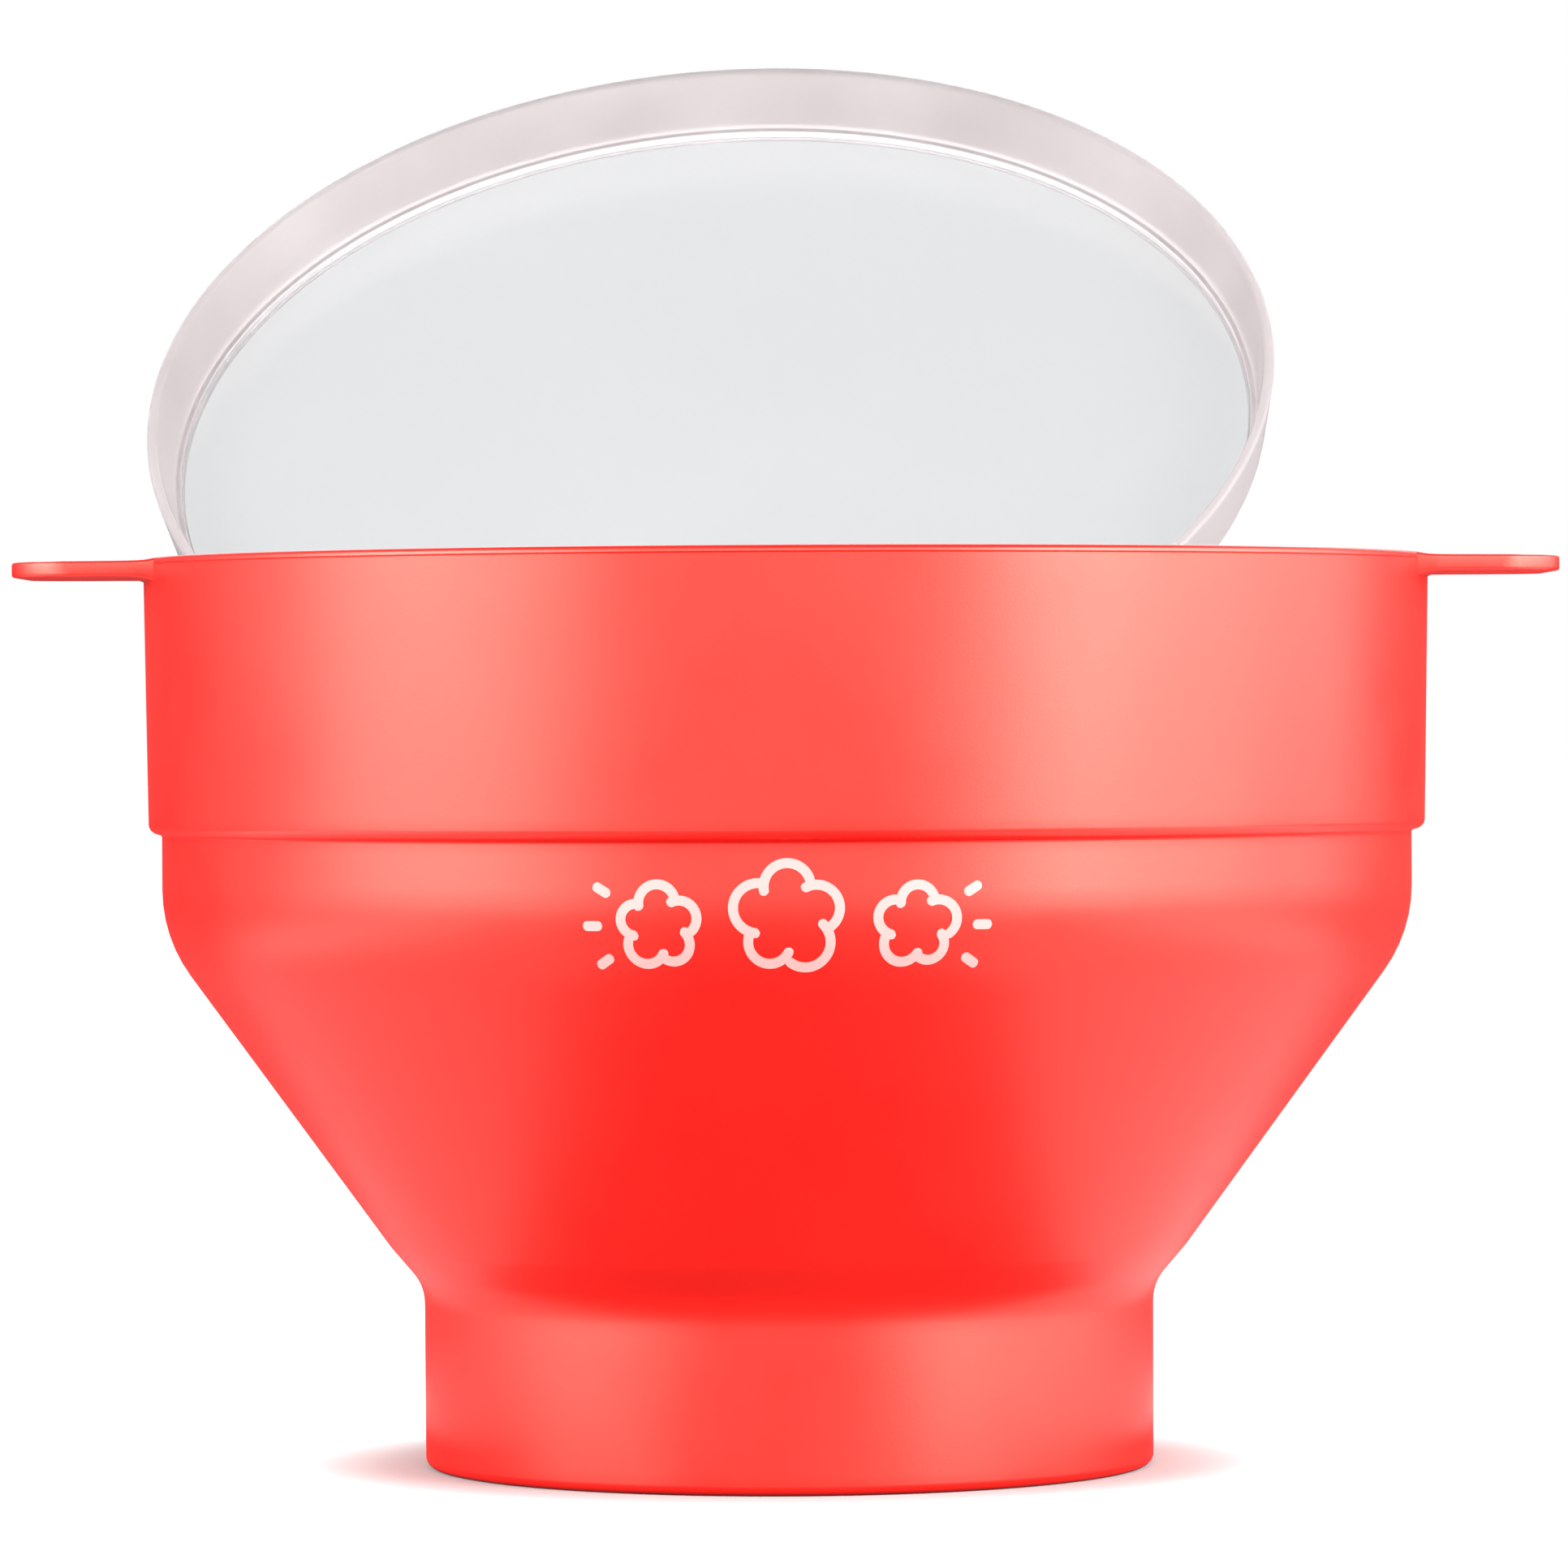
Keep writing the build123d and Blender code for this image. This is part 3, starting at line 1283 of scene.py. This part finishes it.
@dataclass(frozen=True)
class Studio:
    """A pale floor, a white surround, soft lamps and the camera.

    Angles are in degrees; the lens and the sensor are in millimetres.
    """

    camera_place: tuple[float, float, float] = (-0.4 * MM, -1312.0 * MM, 118.4 * MM)
    camera_pitch: float = -0.519
    camera_roll: float = -0.28
    lens: float = 192.15
    sensor: float = 36.0
    nearest_seen: float = 0.05
    farthest_seen: float = 60.0
    floor_half: float = 12.0
    floor_bounce: float = 0.1
    floor_tone: float = 0.42
    # painted light: the floor glows for the camera, fading in between glow_start and glow_end from the
    # bowl's axis
    floor_glow: float = 1.0
    glow_start: float = 57 * MM
    glow_end: float = 92 * MM
    surround: float = 0.2
    lamps: tuple[Softbox, ...] = (
        Softbox("left_softbox", -70, 1.1, 0.5, width=0.7, length=0.8, radiance=10),
        Softbox("right_softbox", 70, 1.1, 0.5, width=0.9, length=0.8, radiance=9),
        Softbox("left_front_softbox", -45, 1.2, 0.45, width=0.5, length=0.7, radiance=8),
        Softbox("right_front_softbox", 45, 1.2, 0.45, width=0.5, length=0.7, radiance=12),
        Softbox("left_side_softbox", -105, 1.1, 0.45, width=0.5, length=0.8, radiance=1),
        Softbox("right_side_softbox", 105, 1.1, 0.45, width=0.5, length=0.8, radiance=4),
        Softbox("front_softbox", 0, 1.6, 0.7, width=1.2, length=0.8, radiance=5),
        Softbox("back_softbox", 175, 1.5, 0.9, width=1.4, length=0.8, radiance=3),
        Softbox("left_card", -75, 0.2, 0.004, width=0.25, length=0.3, radiance=0.7, faces_up=True),
        Softbox("right_card", 75, 0.2, 0.004, width=0.25, length=0.3, radiance=1, faces_up=True),
        Softbox("left_outer_card", -75, 0.35, 0.004, width=0.2, length=0.3, radiance=2, faces_up=True),
        Softbox("right_outer_card", 75, 0.35, 0.004, width=0.2, length=0.3, radiance=2, faces_up=True),
    )

    def add_floor(self) -> None:
        """Lays the floor, which is not part of the object and bounces less light than it shows; for the
        camera it also glows with painted light, from nothing at glow_start to floor_glow at glow_end from
        the bowl's axis, which paints white over the bowl's shadow beyond that ring.
        """
        half = self.floor_half
        mesh = bpy.data.meshes.new("floor")
        mesh.from_pydata(
            [(-half, -half, 0), (half, -half, 0), (half, half, 0), (-half, half, 0)], [], [(0, 1, 2, 3)]
        )
        material = bpy.data.materials.new("Pale floor")
        material.use_nodes = True
        graph = Graph(material.node_tree)
        seen = graph.add("ShaderNodeLightPath").outputs["Is Camera Ray"]
        bounce, tone = (self.floor_bounce,) * 3, (self.floor_tone,) * 3
        shade = graph.add(
            "ShaderNodeMix", {0: seen, 6: (*bounce, 1.0), 7: (*tone, 1.0)}, data_type="RGBA"
        )
        place = graph.add("ShaderNodeTexCoord").outputs["Object"]
        reach = graph.add("ShaderNodeVectorMath", {0: place}, operation="LENGTH").outputs["Value"]
        # painted light: the camera's glow fades in from glow_start to glow_end round the bowl's axis and
        # paints white over the bowl's shadow there
        painted_glow_ramp = graph.add(
            "ShaderNodeMapRange",
            {
                "Value": reach,
                "From Min": self.glow_start,
                "From Max": self.glow_end,
                "To Max": self.floor_glow,
            },
            interpolation_type="SMOOTHSTEP",
        )
        shader = material.node_tree.nodes["Principled BSDF"]
        shader.inputs["Roughness"].default_value = 1.0
        shader.inputs["Specular IOR Level"].default_value = 0.0
        shader.inputs["Emission Color"].default_value = (1.0, 1.0, 1.0, 1.0)
        glow = graph.math("MULTIPLY", seen, painted_glow_ramp.outputs["Result"])
        material.node_tree.links.new(glow, shader.inputs["Emission Strength"])
        material.node_tree.links.new(shade.outputs[2], shader.inputs["Base Color"])
        mesh.materials.append(material)
        placed("floor", mesh)

    def add_surround(self) -> None:
        """Shows a white surround that lights the bowl less than it shows."""
        world = bpy.data.worlds.new("White surround")
        world.use_nodes = True
        graph = Graph(world.node_tree)
        seen = graph.add("ShaderNodeLightPath").outputs["Is Camera Ray"]
        strength = graph.add(
            "ShaderNodeMapRange", {"Value": seen, "To Min": self.surround, "To Max": 1.0}
        )
        background = world.node_tree.nodes["Background"]
        background.inputs["Color"].default_value = (1.0, 1.0, 1.0, 1.0)
        world.node_tree.links.new(strength.outputs["Result"], background.inputs["Strength"])
        bpy.context.scene.world = world

    def add_camera(self) -> None:
        """Sets the camera at eye level with the bowl's shoulder, level but for a slight dip and roll."""
        lens = bpy.data.cameras.new("camera")
        lens.lens = self.lens
        lens.sensor_width = self.sensor
        lens.clip_start, lens.clip_end = self.nearest_seen, self.farthest_seen
        camera = bpy.data.objects.new("camera", lens)
        tilt = Matrix.Rotation(math.radians(90 + self.camera_pitch), 4, "X")
        roll = Matrix.Rotation(math.radians(self.camera_roll), 4, "Z")
        camera.matrix_world = Matrix.Translation(self.camera_place) @ tilt @ roll
        bpy.context.scene.collection.objects.link(camera)
        bpy.context.scene.camera = camera

    def build(self) -> None:
        """Makes the whole studio."""
        self.add_floor()
        self.add_surround()
        self.add_camera()
        for lamp in self.lamps:
            lamp.build()
        bpy.context.scene.view_settings.view_transform = "Standard"


# ---------------------------------------------------------------- making


def lid_opening(joint: dict) -> Matrix:
    """Returns the turn from the closed lid to the lid at rest.

    Args:
        joint: The lid's joint, as the frame gives it.

    Returns:
        The turn about the joint's axis.
    """
    hinge = Matrix.Translation(joint["pos_m"])
    closed_angle = math.radians(max(joint["range_deg"]))
    return hinge @ Matrix.Rotation(-closed_angle, 4, Vector(joint["axis"])) @ hinge.inverted()


def report(piece: bpy.types.Object) -> None:
    """Logs a finished piece's name and its number of faces.

    Args:
        piece: The finished piece.
    """
    log.info("%s: %d faces", piece.name, len(piece.data.polygons))


def main() -> None:
    """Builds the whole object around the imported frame, with its studio."""
    logging.basicConfig(level=logging.INFO, format="%(name)s: %(message)s")
    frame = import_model()

    effects = Effects(grain=moulded_grain_group(), lint=lint_group())
    red, frosted, clear, ink = (
        finish.build(effects) for finish in (RED_SILICONE, FROSTED_SILICONE, CLEAR_PANE, PALE_INK)
    )
    lathe, ink_strokes = lathe_tree(), ink_stroke_tree()

    band_low, band_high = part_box("rim_band")
    shell = BowlShell(rim_radius=band_high[0], rim_height=band_high[2])
    zones = [name for name in frame["nodes"] if name.startswith(("base_", "fold_ring_", "rim_"))]
    report(shell.build(lathe, red, zones))
    report(KernelPrint(shell).build(ink_strokes, ink))
    for side in Side:
        low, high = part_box(f"grip_{side.name.lower()}")
        grip = Grip(
            side=side,
            reach=max(abs(low[0]), abs(high[0])),
            half_width=high[1],
            underside=low[2],
            top=high[2],
            band_radius=shell.rim_radius,
        )
        report(grip.build(red))

    lid_joint = next(joint for joint in frame["joints"] if joint["child"] == Body.LID.value)
    lip_clearance = 0.8 * MM
    lid = Lid(seat=shell.rim_height + lip_clearance, opening=lid_opening(lid_joint))
    for piece in lid.build(lathe, frosted, clear):
        report(piece)

    Studio().build()


if __name__ == "__main__":
    main()
